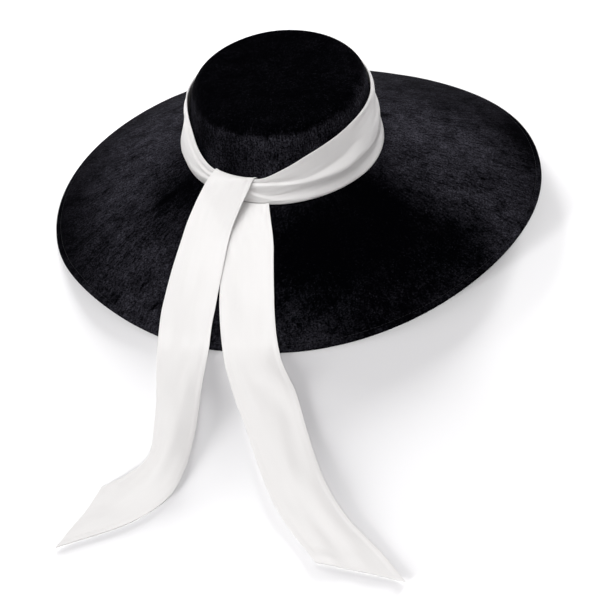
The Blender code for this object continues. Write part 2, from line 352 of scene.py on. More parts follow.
def add_group(tree, group):
    """A node that runs this group."""
    node = tree.nodes.new("ShaderNodeGroup")
    node.node_tree = group
    return node


def new_material(name):
    """A new material, its node tree and its Principled BSDF."""
    material = bpy.data.materials.new(name)
    material.use_nodes = True
    return material, material.node_tree, material.node_tree.nodes["Principled BSDF"]


def add_bump(tree, surface, height, strength, distance):
    """Gives a surface the fine relief of this height."""
    bump = tree.nodes.new("ShaderNodeBump")
    bump.inputs["Strength"].default_value = strength
    bump.inputs["Distance"].default_value = distance
    tree.links.new(height, bump.inputs["Height"])
    tree.links.new(bump.outputs[0], surface.inputs["Normal"])


def velvet(name):
    """Black velvet with hardly any gloss, a soft bright edge, and painted sheen, lighter where its
    points carry more.
    """
    material, tree, surface = new_material(name)
    surface.inputs["Roughness"].default_value = 0.9
    surface.inputs["Specular IOR Level"].default_value = 0.006
    surface.inputs["Sheen Weight"].default_value = 0.012
    surface.inputs["Sheen Roughness"].default_value = 0.4
    surface.inputs["Sheen Tint"].default_value = (0.45, 0.45, 0.55, 1)
    place = tree.nodes.new("ShaderNodeTexCoord")
    centre = tree.nodes.new("ShaderNodeMapping")
    centre.inputs["Location"].default_value = (-MIDDLE[0], -MIDDLE[1], -FOOT_HEIGHT)
    tree.links.new(place.outputs["Object"], centre.inputs["Vector"])
    along = add_group(tree, PILE_DIRECTION)
    tree.links.new(centre.outputs[0], along.inputs["Position"])
    # the painted sheen carried by each piece's points
    painted_sheen = tree.nodes.new("ShaderNodeAttribute")
    painted_sheen.attribute_name = "painted_sheen"
    nap = add_group(tree, VELVET_NAP)
    nap.inputs["Dark"].default_value = (*VELVET_DARK, 1)
    nap.inputs["Light"].default_value = (*VELVET_PAINTED_SHEEN, 1)
    tree.links.new(centre.outputs[0], nap.inputs["Position"])
    tree.links.new(along.outputs[0], nap.inputs["Along Pile"])
    tree.links.new(painted_sheen.outputs["Fac"], nap.inputs["Painted Sheen"])
    tree.links.new(nap.outputs["Color"], surface.inputs["Base Color"])
    add_bump(tree, surface, nap.outputs["Height"], strength=0.35, distance=0.0004)
    return material


crown.data.materials.append(velvet("crown velvet"))
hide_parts("crown")
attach(crown, "root")


# The brim. A wide oval ring of the same velvet-covered felt, nearly straight from the crown's foot
# down to the rim. Its two velvet faces are turned in at the rim and sewn through near the edge. It
# lies on the floor over two arcs and stands off it between them.
BRIM_LENGTH = 0.4732
BRIM_WIDTH = 0.4492
BRIM_DROP = FOOT_HEIGHT
BRIM_RUN = 0.136
# the felt's thickness measured straight up through the sloping brim
UPRIGHT_THICKNESS = FELT_THICKNESS * np.hypot(1, BRIM_DROP / BRIM_RUN)
BRIM_SHIFT = 0.0057
BRIM_BOW = 0.002
LIFT_HEIGHT = 0.017
BRIM_STEPS = 320
BRIM_RINGS = 26
BRIM_RINGS_REACH = 0.86
# from there on, how far in from the rim its rings are: close together over the stitched groove
NEAR_RIM_INSETS = (*np.linspace(0.0022, 0.0075, 11), 0.0095, 0.013, 0.018)
RIM_EDGE_RINGS = 9
BRIM_DENT = 0.0005
BRIM_DENT_SPAN = 0.075
SEAM_INSET = 0.0047
SEAM_WIDTH = 0.0009
SEAM_DEPTH = 0.0004
BRIM_LIFTS = (
    # azimuth, half width in degrees, share of the lift height
    (-22, 70, 1.00),
    (145, 55, 0.50),
    (215, 35, 0.45),
)
TRIM_HALF_WIDTH = 60
RIM_TRIMS = (
    # azimuth, further out and higher than the plain oval, both in mm
    (0, -0.69, -4.29),
    (30, -1.44, 8.57),
    (60, -4.35, -5.87),
    (90, -1.36, 2.33),
    (120, -1.10, 3.46),
    (150, 0.06, -7.88),
    (180, 0.28, 3.75),
    (210, -1.00, -0.01),
    (240, 0.26, -0.86),
    (270, 0.27, -0.91),
    (300, 2.58, 3.18),
    (330, 0.83, 0.08),
)
# painted sheen on the brim's upper side: an even amount, and patches where it is painted lighter or
# darker
BRIM_PAINTED_SHEEN = 0.30
BRIM_PAINTED_SHEEN_PATCHES = (
    # azimuth, share of the brim's width, degrees round, share across, more or less painted sheen
    (150, 0.40, 35, 0.40, 0.44),
    (190, 0.50, 16, 0.22, 0.15),
    (178, 0.92, 32, 0.25, -0.28),
    (212, 0.12, 20, 0.25, -0.32),
    (214, 0.62, 12, 0.18, 0.16),
    (230, 0.92, 12, 0.22, 0.21),
    (5, 0.25, 42, 0.35, 0.50),
    (350, 0.60, 16, 0.30, 0.25),
    (4, 0.93, 14, 0.16, -0.36),
    (328, 0.62, 9, 0.30, 0.27),
    (322, 0.95, 7, 0.12, 0.28),
    (296, 0.40, 32, 0.70, -0.36),
    (264, 0.98, 10, 0.16, 0.19),
    (30, 0.55, 14, 0.25, -0.12),
    (266, 0.38, 16, 0.42, -0.20),
    (312, 0.80, 9, 0.22, -0.12),
    (308, 0.22, 10, 0.24, -0.16),
    (286, 0.92, 14, 0.16, -0.08),
    (90, 0.50, 45, 0.80, 0.23),
    (12, 0.07, 3, 0.05, -0.60),
    (146, 0.28, 1.5, 0.15, -0.30),
    (206, 0.28, 2, 0.10, -0.30),
)


def rim_trim(azimuth, column):
    """What the rim has of this column's trims at this azimuth, each spread softly round its own."""
    near = [np.clip(turned_from(azimuth, row[0]) / TRIM_HALF_WIDTH, -1, 1) for row in RIM_TRIMS]
    return sum(row[column] * np.cos(t * np.pi / 2) ** 2 for row, t in zip(RIM_TRIMS, near)) / 1000


def rim_radius(azimuth):
    """How far the rim is from the middle, seen from above."""
    oval = oval_radius(BRIM_LENGTH, BRIM_WIDTH, azimuth) + BRIM_SHIFT * np.cos(np.radians(azimuth))
    return oval + rim_trim(azimuth, 1)


def rim_height(azimuth):
    """The rim's upper side above the floor: the felt's own thickness, and more where the rim lifts."""
    slope = np.arctan2(BRIM_DROP, (BRIM_LENGTH - CROWN_LENGTH) / 2)
    thin = FELT_THICKNESS * np.cos(slope)
    height = thin + rim_trim(azimuth, 2)
    for middle, half_width, share in BRIM_LIFTS:
        turn = np.clip(turned_from(azimuth, middle) / half_width, -1, 1)
        height = height + LIFT_HEIGHT * share * np.cos(turn * np.pi / 2) ** 2
    return np.maximum(height, thin)


def brim_share(azimuth, radius):
    """0 at the brim's inner edge and 1 at the rim."""
    foot = oval_radius(CROWN_LENGTH, CROWN_WIDTH, azimuth) - FELT_THICKNESS
    return (radius - foot) / (rim_radius(azimuth) - foot)


def brim_height(azimuth, radius):
    """The height of the brim's upper side, also carried on past its two edges."""
    share = brim_share(azimuth, radius)
    bow = np.where((share > 0) & (share < 1), BRIM_BOW * 4 * share * (1 - share), 0)
    return BRIM_DROP + (rim_height(azimuth) - BRIM_DROP) * share + bow


def rim_edge():
    """Shares of the felt's thickness in from the rim and down, round its turned edge."""
    turn = np.linspace(0, np.pi, RIM_EDGE_RINGS)
    return zip(0.5 * (1 - np.sin(turn)), 0.5 * (1 - np.cos(turn)))


def groove(inset):
    """How deep the line of stitches draws the velvet in, this far in from the rim."""
    return SEAM_DEPTH * swell(inset - SEAM_INSET, SEAM_WIDTH)


def brim_ring(azimuths, inset, down):
    """Points round the brim, this far in from the rim and this far below its upper side."""
    radius = rim_radius(azimuths) - inset
    return on_azimuth(radius, azimuths, brim_height(azimuths, radius) - down)


def brim_dents(points):
    """Shallow dents in the brim, none at the crown's foot or at the rim."""
    share = brim_share(*azimuth_and_radius(points))
    flat = np.array(points, float)
    flat[:, 2] = 0
    return BRIM_DENT * soft_noise(flat, BRIM_DENT_SPAN, seed=2) * np.clip(4 * share * (1 - share), 0, 1)


azimuths = np.arange(BRIM_STEPS) * 360 / BRIM_STEPS
foot = oval_radius(CROWN_LENGTH, CROWN_WIDTH, azimuths) - FELT_THICKNESS
reach = rim_radius(azimuths) - foot
insets = [reach - reach * share for share in np.linspace(0, BRIM_RINGS_REACH, BRIM_RINGS)]
insets += [np.full(BRIM_STEPS, inset) for inset in NEAR_RIM_INSETS[::-1]]
upper_rings = [brim_ring(azimuths, inset, groove(inset)) for inset in insets]
edge_rings = [
    brim_ring(azimuths, inward * FELT_THICKNESS, down * FELT_THICKNESS) for inward, down in rim_edge()
]
under_rings = [brim_ring(azimuths, inset, UPRIGHT_THICKNESS - groove(inset)) for inset in insets[::-1]]
rings = upper_rings + edge_rings + under_rings
points = np.concatenate(rings)
points[:, 2] = np.maximum(points[:, 2] + brim_dents(points), 0)
azimuth, radius = azimuth_and_radius(points)
share = brim_share(azimuth, radius)
# painted sheen, in patches, on the brim's upper side and the top of its rim only
painted_sheen = np.full(len(points), BRIM_PAINTED_SHEEN)
upper_side = np.arange(len(points)) < BRIM_STEPS * (len(upper_rings) + len(edge_rings) // 2)
for middle, across, round_it, wide, more in BRIM_PAINTED_SHEEN_PATCHES:
    near = swell(turned_from(azimuth, middle), round_it) * swell(share - across, wide)
    painted_sheen += more * near * upper_side
faces = []
for k in range(len(rings)):
    faces += ring_faces(k * BRIM_STEPS, (k + 1) % len(rings) * BRIM_STEPS, BRIM_STEPS)
brim = make_object("velvet_brim", points, faces, {"painted_sheen": painted_sheen})
brim.data.materials.append(velvet("brim velvet"))
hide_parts("brim")
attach(brim, "root")


# The stitching near the rim. Black thread, sewn through the two velvet faces of the brim after
# they are turned in: one line of stitches above and one below, sunk a little into the nap.
STITCH_LENGTH = 0.0026
STITCH_PITCH = 0.0032
THREAD_RADIUS = 0.00022
THREAD_SIDES = 6
STITCH_STANDS_OUT = 0.00006
STITCH_SHAPE = (
    # share of the stitch's length from its middle, share of the thread's radius
    (-0.5, 0.45),
    (-0.3, 1.0),
    (0.3, 1.0),
    (0.5, 0.45),
)
RIM_MEASURE_STEPS = 720
THREAD_BLACK = (0.008, 0.008, 0.010)
THREAD_DARKEST = 0.5
THREAD_LIGHTEST = 1.6
THREAD_TWIST = {"scale": 2500, "detail": 2}


def rim_places(count, inset, under):
    """Points evenly spaced round the brim, this far in from the rim, on its upper or under side."""
    fine = np.linspace(0, 360, 4 * count, endpoint=False)
    line = on_azimuth(rim_radius(fine) - inset, fine, 0.0)
    steps = np.linalg.norm(np.diff(np.vstack([line, line[:1]]), axis=0), axis=1)
    along = np.concatenate([[0], np.cumsum(steps)])
    wanted = np.arange(count) * along[-1] / count
    azimuth = np.interp(wanted, along, np.append(fine, 360))
    radius = rim_radius(azimuth) - inset
    down = UPRIGHT_THICKNESS - SEAM_DEPTH if under else SEAM_DEPTH
    line = on_azimuth(radius, azimuth, brim_height(azimuth, radius) - down)
    line[:, 2] += brim_dents(line) + (-STITCH_STANDS_OUT if under else STITCH_STANDS_OUT)
    return line


measured = rim_places(RIM_MEASURE_STEPS, SEAM_INSET, False)
rim_round = np.sum(np.linalg.norm(np.diff(measured, axis=0), axis=1))
stitch_count = int(rim_round / STITCH_PITCH)
points, faces = [], []
for under in (False, True):
    line = rim_places(stitch_count, SEAM_INSET, under)
    ahead = np.roll(line, -1, axis=0) - line
    for place, way in zip(line, ahead / np.linalg.norm(ahead, axis=1)[:, None]):
        side_way = np.cross(way, (0, 0, 1))
        side_way /= np.linalg.norm(side_way)
        up_way = np.cross(side_way, way)
        start = len(points)
        for part, thick in STITCH_SHAPE:
            for k in range(THREAD_SIDES):
                turn = 2 * np.pi * k / THREAD_SIDES
                out = np.cos(turn) * side_way + np.sin(turn) * up_way
                points.append(place + way * part * STITCH_LENGTH + out * thick * THREAD_RADIUS)
        end = len(points) - THREAD_SIDES
        for ring in range(start, end, THREAD_SIDES):
            faces += ring_faces(ring, ring + THREAD_SIDES, THREAD_SIDES)
        faces.append(tuple(range(start, start + THREAD_SIDES))[::-1])
        faces.append(tuple(range(end, end + THREAD_SIDES)))
points = np.array(points)
points[:, 2] = np.maximum(points[:, 2], 0)
stitching = make_object("rim_stitching", points, faces)
thread, tree, surface = new_material("black thread")
surface.inputs["Roughness"].default_value = 0.5
surface.inputs["Specular IOR Level"].default_value = 0.12
place = tree.nodes.new("ShaderNodeTexCoord")
twist = noise_at(tree, place.outputs["Object"], **THREAD_TWIST)
dark_colour, light_colour, tone = mixed_colours(tree, twist)
dark_colour.default_value = (*[THREAD_DARKEST * part for part in THREAD_BLACK], 1)
light_colour.default_value = (*[THREAD_LIGHTEST * part for part in THREAD_BLACK], 1)
tree.links.new(tone, surface.inputs["Base Color"])
stitching.data.materials.append(thread)
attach(stitching, "root")


# The scarf's turns round the crown. White satin folded lengthwise into soft overlapping pleats, at
# full width round the back and the sides, and drawn in where its ends cross at the front.
SCARF_WIDTH = 0.046
GATHER_HEIGHT = 0.0215
GATHER_AZIMUTH = 243
GAP = 0.0003
WRAP_STEPS = 480
WRAP_ROWS = 88
SATIN_WHITE = (0.800, 0.790, 0.777)
WRAP_TIP_LENGTH = 0.178
WRAP_TIP_WIDTH = 0.159
WRAP_TIP_SHIFT = 0.003
WRAP_FOOT = -0.0025
WRAP_TURN_IN = 0.0006
WRAP_TURN_HEIGHT = 0.0009
WRAP_EDGE_POINTS = 7
WRAP_INNER_STEP = 8
# ripples are bumps read off round a small ring and narrowed, so that they run along the cloth
RIPPLE_HEIGHT = 0.00022
RIPPLE_SPAN = 0.026
RIPPLE_RING = 0.03
RIPPLE_NARROW = 8
SATIN_THREADS = (2600, 160, 1)
SATIN_SHADE = 0.985
SATIN_ROUGHNESS = 0.34
SLUB_SCALE = 0.12
SLUB_SHADE = 0.03
SLUB_HEIGHT = 0.8
SLUB_ROUGHNESS = 0.14
PLEATS = (
    # degrees on from the gather, then in mm the height of the wrap's top edge and how far it stands
    # out, the same for the upper pleat, the crease, the ridge, the valley and the lower pleat, and
    # how far the foot stands out
    (0, 17.0, 1.4, 16.4, 1.4, 15.6, 1.1, 14.0, 3.2, 10.5, 2.6, 9.0, 4.2, 4.4),
    (6, 17.2, 1.4, 16.5, 1.4, 15.3, 1.0, 13.8, 3.4, 9.0, 2.4, 7.3, 4.3, 4.8),
    (11, 17.8, 1.4, 16.6, 1.4, 15.3, 0.9, 13.9, 3.6, 6.3, 2.6, 4.3, 4.6, 5.0),
    (15, 19.3, 1.4, 17.6, 1.4, 15.5, 0.8, 14.2, 3.6, 5.2, 2.8, 2.7, 4.8, 5.1),
    (18, 21.2, 1.4, 18.6, 1.6, 15.5, 0.8, 14.2, 3.6, 4.8, 2.8, 1.3, 5.0, 5.2),
    (23, 24.7, 1.5, 20.0, 1.8, 15.5, 1.0, 14.0, 3.6, 5.6, 3.1, 0.2, 5.7, 5.7),
    (30, 29.4, 1.5, 22.5, 1.9, 15.8, 1.6, 13.3, 4.0, 6.3, 2.7, -0.7, 5.9, 5.9),
    (36, 33.4, 1.5, 25.0, 1.8, 16.8, 2.4, 13.0, 4.6, 7.0, 2.6, -1.0, 5.9, 5.9),
    (46, 38.0, 1.5, 29.0, 1.7, 19.3, 2.1, 13.6, 5.8, 6.2, 3.0, -1.4, 5.9, 5.9),
    (59, 42.0, 1.5, 34.5, 1.6, 24.0, 1.7, 14.5, 6.8, 5.2, 3.6, -1.6, 5.9, 5.9),
    (68, 44.2, 1.6, 37.0, 1.6, 28.2, 1.8, 17.0, 6.3, 6.0, 3.6, -1.6, 5.8, 5.8),
    (77, 45.4, 2.2, 40.8, 1.5, 29.0, 2.8, 15.5, 4.9, 5.6, 2.7, -1.5, 5.4, 5.4),
    (87, 46.0, 2.4, 41.0, 1.5, 30.5, 2.7, 17.0, 4.2, 6.0, 2.0, -1.0, 4.6, 4.6),
    (102, 47.0, 2.6, 42.5, 2.6, 33.0, 1.8, 20.5, 3.5, 8.8, 1.7, 1.5, 3.2, 3.2),
    (117, 49.5, 1.8, 45.0, 2.9, 33.0, 1.2, 22.5, 3.1, 11.5, 1.4, 5.0, 2.0, 2.2),
    (150, 50.0, 1.6, 45.0, 2.7, 33.5, 1.3, 24.0, 3.0, 12.0, 1.5, 5.0, 2.6, 2.4),
    (210, 50.0, 1.6, 45.0, 2.7, 34.0, 1.3, 25.0, 3.0, 12.0, 1.6, 5.0, 2.8, 2.6),
    (270, 50.0, 1.6, 42.0, 2.8, 33.0, 1.9, 26.0, 2.6, 14.0, 3.0, 8.0, 3.8, 3.4),
    (293, 49.5, 1.4, 40.0, 2.9, 32.5, 2.2, 27.0, 2.5, 16.0, 3.8, 9.0, 4.4, 3.4),
    (302, 46.5, 1.4, 42.0, 2.4, 37.0, 1.4, 32.5, 3.0, 18.0, 4.0, 9.5, 4.3, 0.9),
    (307, 44.0, 1.4, 41.0, 2.3, 37.3, 1.3, 33.0, 3.2, 19.0, 4.1, 10.0, 4.3, 0.5),
    (311, 42.0, 1.4, 39.0, 2.2, 35.5, 1.2, 31.5, 3.3, 19.0, 4.2, 10.0, 4.4, 0.4),
    (318, 37.2, 1.4, 33.7, 2.2, 29.0, 1.2, 25.5, 3.3, 17.0, 4.0, 9.5, 4.4, 0.4),
    (325, 29.2, 1.4, 26.3, 2.1, 22.7, 1.2, 19.5, 3.1, 13.5, 3.5, 9.0, 4.2, 0.5),
    (332, 23.3, 1.4, 21.0, 2.0, 18.0, 1.2, 15.3, 3.0, 11.8, 2.9, 8.5, 4.1, 0.6),
    (340, 19.0, 1.4, 17.5, 1.8, 15.3, 1.2, 13.3, 3.0, 11.0, 2.6, 9.0, 4.0, 1.4),
    (350, 17.2, 1.4, 16.2, 1.6, 15.3, 1.2, 14.0, 3.0, 11.0, 2.6, 9.5, 4.1, 3.0),
    (360, 17.0, 1.4, 16.4, 1.4, 15.6, 1.1, 14.0, 3.2, 10.5, 2.6, 9.0, 4.2, 4.4),
)


def curve_between(t, width, low, high, low_slope, high_slope):
    """Values on a curve over this width that starts and ends with these values and slopes."""
    bend = (t**3 - 2 * t**2 + t) * low_slope + (t**3 - t**2) * high_slope
    return (2 * t**3 - 3 * t**2 + 1) * low + (3 * t**2 - 2 * t**3) * high + width * bend


def table_columns(table, at):
    """Every column of a table at these places along it, with soft turns at its rows."""
    rows = np.array(table, float)
    columns = []
    for column in range(1, rows.shape[1]):
        slopes = np.gradient(rows[:, column], rows[:, 0])
        step = np.clip(np.searchsorted(rows[:, 0], at, side="right") - 1, 0, len(rows) - 2)
        width = rows[step + 1, 0] - rows[step, 0]
        t = np.clip((at - rows[step, 0]) / width, 0, 1)
        low, high = rows[step, column], rows[step + 1, column]
        columns.append(curve_between(t, width, low, high, slopes[step], slopes[step + 1]))
    return np.array(columns)


def wrap_wall(azimuth, height):
    """The side that the scarf is wound on: a little steeper than the crown, where it pads it out."""
    foot = oval_radius(CROWN_LENGTH, CROWN_WIDTH, azimuth)
    tip = oval_radius(WRAP_TIP_LENGTH, WRAP_TIP_WIDTH, azimuth)
    tip = tip + WRAP_TIP_SHIFT * np.cos(np.radians(azimuth))
    return foot + (tip - foot) * height / CROWN_HEIGHT


def soft_curve(at, places, values):
    """A soft curve through these values at rising places, never past the two values it is between."""
    gaps = np.diff(places)
    rates = np.diff(values) / gaps
    slopes = np.zeros(len(places))
    same_way = rates[1:] * rates[:-1] > 0
    slopes[1:-1][same_way] = (2 * rates[1:] * rates[:-1] / (rates[1:] + rates[:-1] + 1e-12))[same_way]
    step = np.clip(np.searchsorted(places, at, side="right") - 1, 0, len(places) - 2)
    t = (at - places[step]) / gaps[step]
    return curve_between(t, gaps[step], values[step], values[step + 1], slopes[step], slopes[step + 1])


def wrap_ripples(turns):
    """Small ripples along the cloth, for each of these turns and each row up the wrap."""
    winding = np.repeat(np.radians(turns) * CROWN_WIDTH / 2, WRAP_ROWS) / RIPPLE_RING
    up_it = np.tile(np.linspace(0, SCARF_WIDTH, WRAP_ROWS), len(turns))
    places = [RIPPLE_RING * np.sin(winding), RIPPLE_RING * np.cos(winding), up_it * RIPPLE_NARROW]
    bumps = soft_noise(np.stack(places, 1), RIPPLE_SPAN, seed=5)
    return RIPPLE_HEIGHT * bumps.reshape(len(turns), WRAP_ROWS)


def wrap_section(azimuth, pleat_heights, pleat_outs, ripple):
    """The wrap cut through at this azimuth: up its pleats, over its top edge and down inside."""
    top = pleat_heights[-1]
    outside = np.linspace(WRAP_FOOT, top, WRAP_ROWS)
    inside = outside[::-WRAP_INNER_STEP]
    outset = soft_curve(outside, pleat_heights, pleat_outs) + ripple
    outset -= WRAP_TURN_IN * np.exp((WRAP_FOOT - outside) / WRAP_TURN_HEIGHT)
    half_edge = outset[-1] / 2
    over = np.linspace(0, np.pi, WRAP_EDGE_POINTS)[1:-1]
    height = np.concatenate([outside, top + half_edge * np.sin(over), inside])
    stands_out = np.concatenate([outset, half_edge + half_edge * np.cos(over), 0 * inside])
    wall_height = np.concatenate([outside, np.full(len(over), top), inside])
    radius = wrap_wall(azimuth, wall_height) + GAP + stands_out
    above_brim = brim_height(azimuth, radius) + GAP
    return on_azimuth(radius, azimuth, np.maximum(FOOT_HEIGHT + height, above_brim))


turns = np.arange(WRAP_STEPS) * 360 / WRAP_STEPS
pleats = table_columns(PLEATS, turns) / 1000
pleat_heights = np.vstack([np.full(WRAP_STEPS, WRAP_FOOT), pleats[10::-2]])
pleat_outs = np.vstack([pleats[12], pleats[11::-2]])
each_turn = zip(GATHER_AZIMUTH + turns, pleat_heights.T, pleat_outs.T, wrap_ripples(turns))
sections = [wrap_section(*values) for values in each_turn]
across = len(sections[0])
points = np.concatenate(sections)
faces = []
for k in range(WRAP_STEPS):
    faces += ring_faces(k * across, (k + 1) % WRAP_STEPS * across, across)
wrap = make_object("satin_wrap", points, faces)


def satin_group():
    """Satin's weave: long fine floats with a slight slub, as a height, and a soft change of tone."""
    group, into, out = new_group(
        "satin weave",
        [("Vector", "NodeSocketVector"), ("Tone", "NodeSocketColor")],
        [("Color", "NodeSocketColor"), ("Height", "NodeSocketFloat"), ("Roughness", "NodeSocketFloat")],
    )
    floats = noise_at(group, into.outputs["Vector"], scale=1, detail=3)
    slub = noise_at(group, into.outputs["Vector"], scale=SLUB_SCALE, detail=2)
    shade = maths(group, "ADD", SATIN_SHADE, maths(group, "MULTIPLY", slub, SLUB_SHADE))
    height = maths(group, "ADD", floats, maths(group, "MULTIPLY", slub, SLUB_HEIGHT))
    roughness = maths(group, "ADD", SATIN_ROUGHNESS, maths(group, "MULTIPLY", slub, SLUB_ROUGHNESS))
    scale = group.nodes.new("ShaderNodeVectorMath")
    scale.operation = "SCALE"
    group.links.new(into.outputs["Tone"], scale.inputs[0])
    group.links.new(shade, scale.inputs["Scale"])
    group.links.new(scale.outputs[0], out.inputs["Color"])
    group.links.new(height, out.inputs["Height"])
    group.links.new(roughness, out.inputs["Roughness"])
    return group


SATIN_WEAVE = satin_group()


def satin(name):
    """White satin with a soft gloss, its threads running along the cloth's UV map in metres."""
    material, tree, surface = new_material(name)
    surface.inputs["Specular IOR Level"].default_value = 0.35
    surface.inputs["Sheen Weight"].default_value = 0.08
    surface.inputs["Sheen Roughness"].default_value = 0.5
    place = tree.nodes.new("ShaderNodeTexCoord")
    spread = tree.nodes.new("ShaderNodeMapping")
    spread.inputs["Scale"].default_value = SATIN_THREADS
    tree.links.new(place.outputs["UV"], spread.inputs["Vector"])
    weave = add_group(tree, SATIN_WEAVE)
    weave.inputs["Tone"].default_value = (*SATIN_WHITE, 1)
    tree.links.new(spread.outputs[0], weave.inputs["Vector"])
    tree.links.new(weave.outputs["Color"], surface.inputs["Base Color"])
    tree.links.new(weave.outputs["Roughness"], surface.inputs["Roughness"])
    add_bump(tree, surface, weave.outputs["Height"], strength=0.07, distance=0.0001)
    return material


def add_uv(piece, across_values, along_values):
    """A UV map in metres, across and along the cloth, from values at the points."""
    layer = piece.data.uv_layers.new(name="cloth")
    corners = np.zeros(len(piece.data.loops), np.int32)
    piece.data.loops.foreach_get("vertex_index", corners)
    layer.data.foreach_set("uv", np.stack([across_values[corners], along_values[corners]], 1).ravel())


up_section = np.concatenate([np.linspace(0, 1, WRAP_ROWS), np.ones(across - WRAP_ROWS)])
round_crown = np.radians(turns) * CROWN_WIDTH / 2
add_uv(wrap, np.tile(up_section, WRAP_STEPS) * SCARF_WIDTH, np.repeat(round_crown, across))
wrap.data.materials.append(satin("wrap satin"))
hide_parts("scarf_wrap")
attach(wrap, "root")


# The scarf's tails. Each is a doubled strip of the same satin with sewn edges and a slanting point.
# The left one comes up between the crown and the wrap and turns down over the gather. The right one
# comes out from under the gather. Both lie on the brim and run on over the floor.
SATIN_THICKNESS = 0.0010
CLOTH_GAP = 0.0006
RIM_EASE = 0.0075
WRAP_STANDS_OUT = 0.0049
LEFT_TAIL_LENGTH = 0.409
RIGHT_TAIL_LENGTH = 0.448
TAIL_POINT = 0.055
POINT_REACH = 1.3
START_REACH = 0.8
LEFT_START_TURN = -2
LEFT_START_SPREAD = 13.5
RIGHT_START_TURN = 7
RIGHT_START_SPREAD = 9
TAIL_STEP = 0.0022
TAIL_COLUMNS = 27
ROUTE_STEP = 0.001
LIFT_SMOOTHINGS = 3
TURNED_EDGE = 0.0030
TURNED_EDGE_HEIGHT = 0.00045
TURNED_EDGE_FADE = 0.0011
WAVE_HEIGHT = 0.0024
WAVE_SPAN = 0.022
WAVE_SQUEEZE = (0.45, 0.8)
WAVE_RISE = 0.4
WAVE_START = 0.05
WAVE_END = 0.03
WAVE_LESS_AT_END = 0.6
WAVE_LESS_AT_EDGES = 0.7
GATHERS_HEIGHT = 0.0034
GATHERS_SPAN = 0.0085
GATHERS_SQUEEZE = (0.6, 1.0)
GATHERS_RISE = 0.15
GATHERS_START = 0.009
GATHERS_REACH = 0.028
GATHERS_LESS_AT_EDGES = 0.9
LEFT_TAIL = (
    # share of the length, heading, share of the width, and as shares of the scarf's width how far
    # the right edge, the middle and the left edge are lifted
    (0.000, -155.0, 1.00, 0.38, 0.37, 0.38),
    (0.013, -146.0, 0.87, 0.40, 0.40, 0.40),
    (0.023, -136.0, 0.84, 0.38, 0.38, 0.37),
    (0.031, -132.7, 0.85, 0.35, 0.35, 0.33),
    (0.040, -133.8, 0.87, 0.32, 0.31, 0.28),
    (0.050, -131.3, 0.87, 0.30, 0.28, 0.24),
    (0.070, -126.3, 0.88, 0.27, 0.23, 0.16),
    (0.095, -121.2, 0.88, 0.24, 0.19, 0.10),
    (0.130, -112.9, 0.89, 0.20, 0.16, 0.06),
    (0.200, -111.3, 0.97, 0.14, 0.12, 0.04),
    (0.280, -109.4, 1.03, 0.07, 0.07, 0.03),
    (0.360, -98.8, 0.98, 0.00, 0.02, 0.00),
    (0.440, -95.2, 0.86, 0.00, 0.06, 0.00),
    (0.520, -95.2, 0.76, 0.00, 0.14, 0.00),
    (0.600, -96.8, 0.73, 0.01, 0.18, 0.00),
    (0.660, -98.0, 0.67, 0.03, 0.20, 0.00),
    (0.700, -104.3, 0.66, 0.06, 0.20, 0.00),
    (0.740, -117.3, 0.72, 0.08, 0.17, 0.00),
    (0.780, -133.1, 0.93, 0.06, 0.11, 0.00),
    (0.820, -147.5, 1.04, 0.03, 0.06, 0.00),
    (0.870, -159.1, 1.09, 0.01, 0.03, 0.00),
    (0.930, -164.6, 1.03, 0.00, 0.01, 0.00),
    (1.000, -159.9, 0.96, 0.00, 0.00, 0.00),
)
RIGHT_TAIL = (
    # the same columns as for the left tail
    (0.000, -102.5, 0.80, 0.02, 0.02, 0.02),
    (0.100, -99.0, 0.99, 0.00, 0.00, 0.00),
    (0.200, -97.0, 1.02, 0.00, 0.02, 0.00),
    (0.280, -90.5, 1.00, 0.00, 0.01, 0.00),
    (0.360, -81.5, 1.00, 0.00, 0.04, 0.00),
    (0.440, -80.5, 1.05, 0.00, 0.07, 0.01),
    (0.520, -84.0, 0.99, 0.01, 0.06, 0.00),
    (0.600, -83.0, 0.96, 0.00, 0.07, 0.01),
    (0.680, -80.5, 0.93, 0.00, 0.09, 0.02),
    (0.760, -73.0, 0.91, 0.00, 0.07, 0.02),
    (0.840, -65.5, 0.90, 0.00, 0.04, 0.01),
    (0.920, -66.0, 0.98, 0.00, 0.01, 0.00),
    (1.000, -68.0, 0.93, 0.00, 0.00, 0.00),
)


def soft_max(a, b, softness):
    """The higher of two heights, with the corner between them rounded."""
    near = np.maximum(softness - np.abs(a - b), 0) / softness
    return np.maximum(a, b) + near * near * softness / 4


def ground_height(points):
    """What the tails lie on: just above the brim, and past the rim the floor."""
    brim_top = brim_height(*azimuth_and_radius(points)) + brim_dents(points)
    return soft_max(brim_top + CLOTH_GAP, 0, RIM_EASE)


def left_start(v):
    """Places across the left tail's start, against the crown at the gather's top, v from -1 to 1."""
    azimuth = GATHER_AZIMUTH + LEFT_START_TURN - LEFT_START_SPREAD * v
    return on_azimuth(wall_radius(azimuth, GATHER_HEIGHT) + 2 * GAP, azimuth, 0.0)


def right_start(v):
    """Places across the right tail's start, at the foot of the gather, v from -1 to 1."""
    azimuth = GATHER_AZIMUTH + RIGHT_START_TURN - RIGHT_START_SPREAD * v
    return on_azimuth(wall_radius(azimuth, 0.0) + 2 * GAP + WRAP_STANDS_OUT, azimuth, 0.0)


def tail_route(table, length, start):
    """Places seen from above along the middle of a tail, a short step apart."""
    steps = round(length / ROUTE_STEP)
    shares = (np.arange(steps) + 0.5) / steps
    heading = np.radians(np.interp(shares, [row[0] for row in table], [row[1] for row in table]))
    moves = np.stack([np.cos(heading), np.sin(heading)], 1) * length / steps
    return start[:2] + np.vstack([[0, 0], np.cumsum(moves, axis=0)])


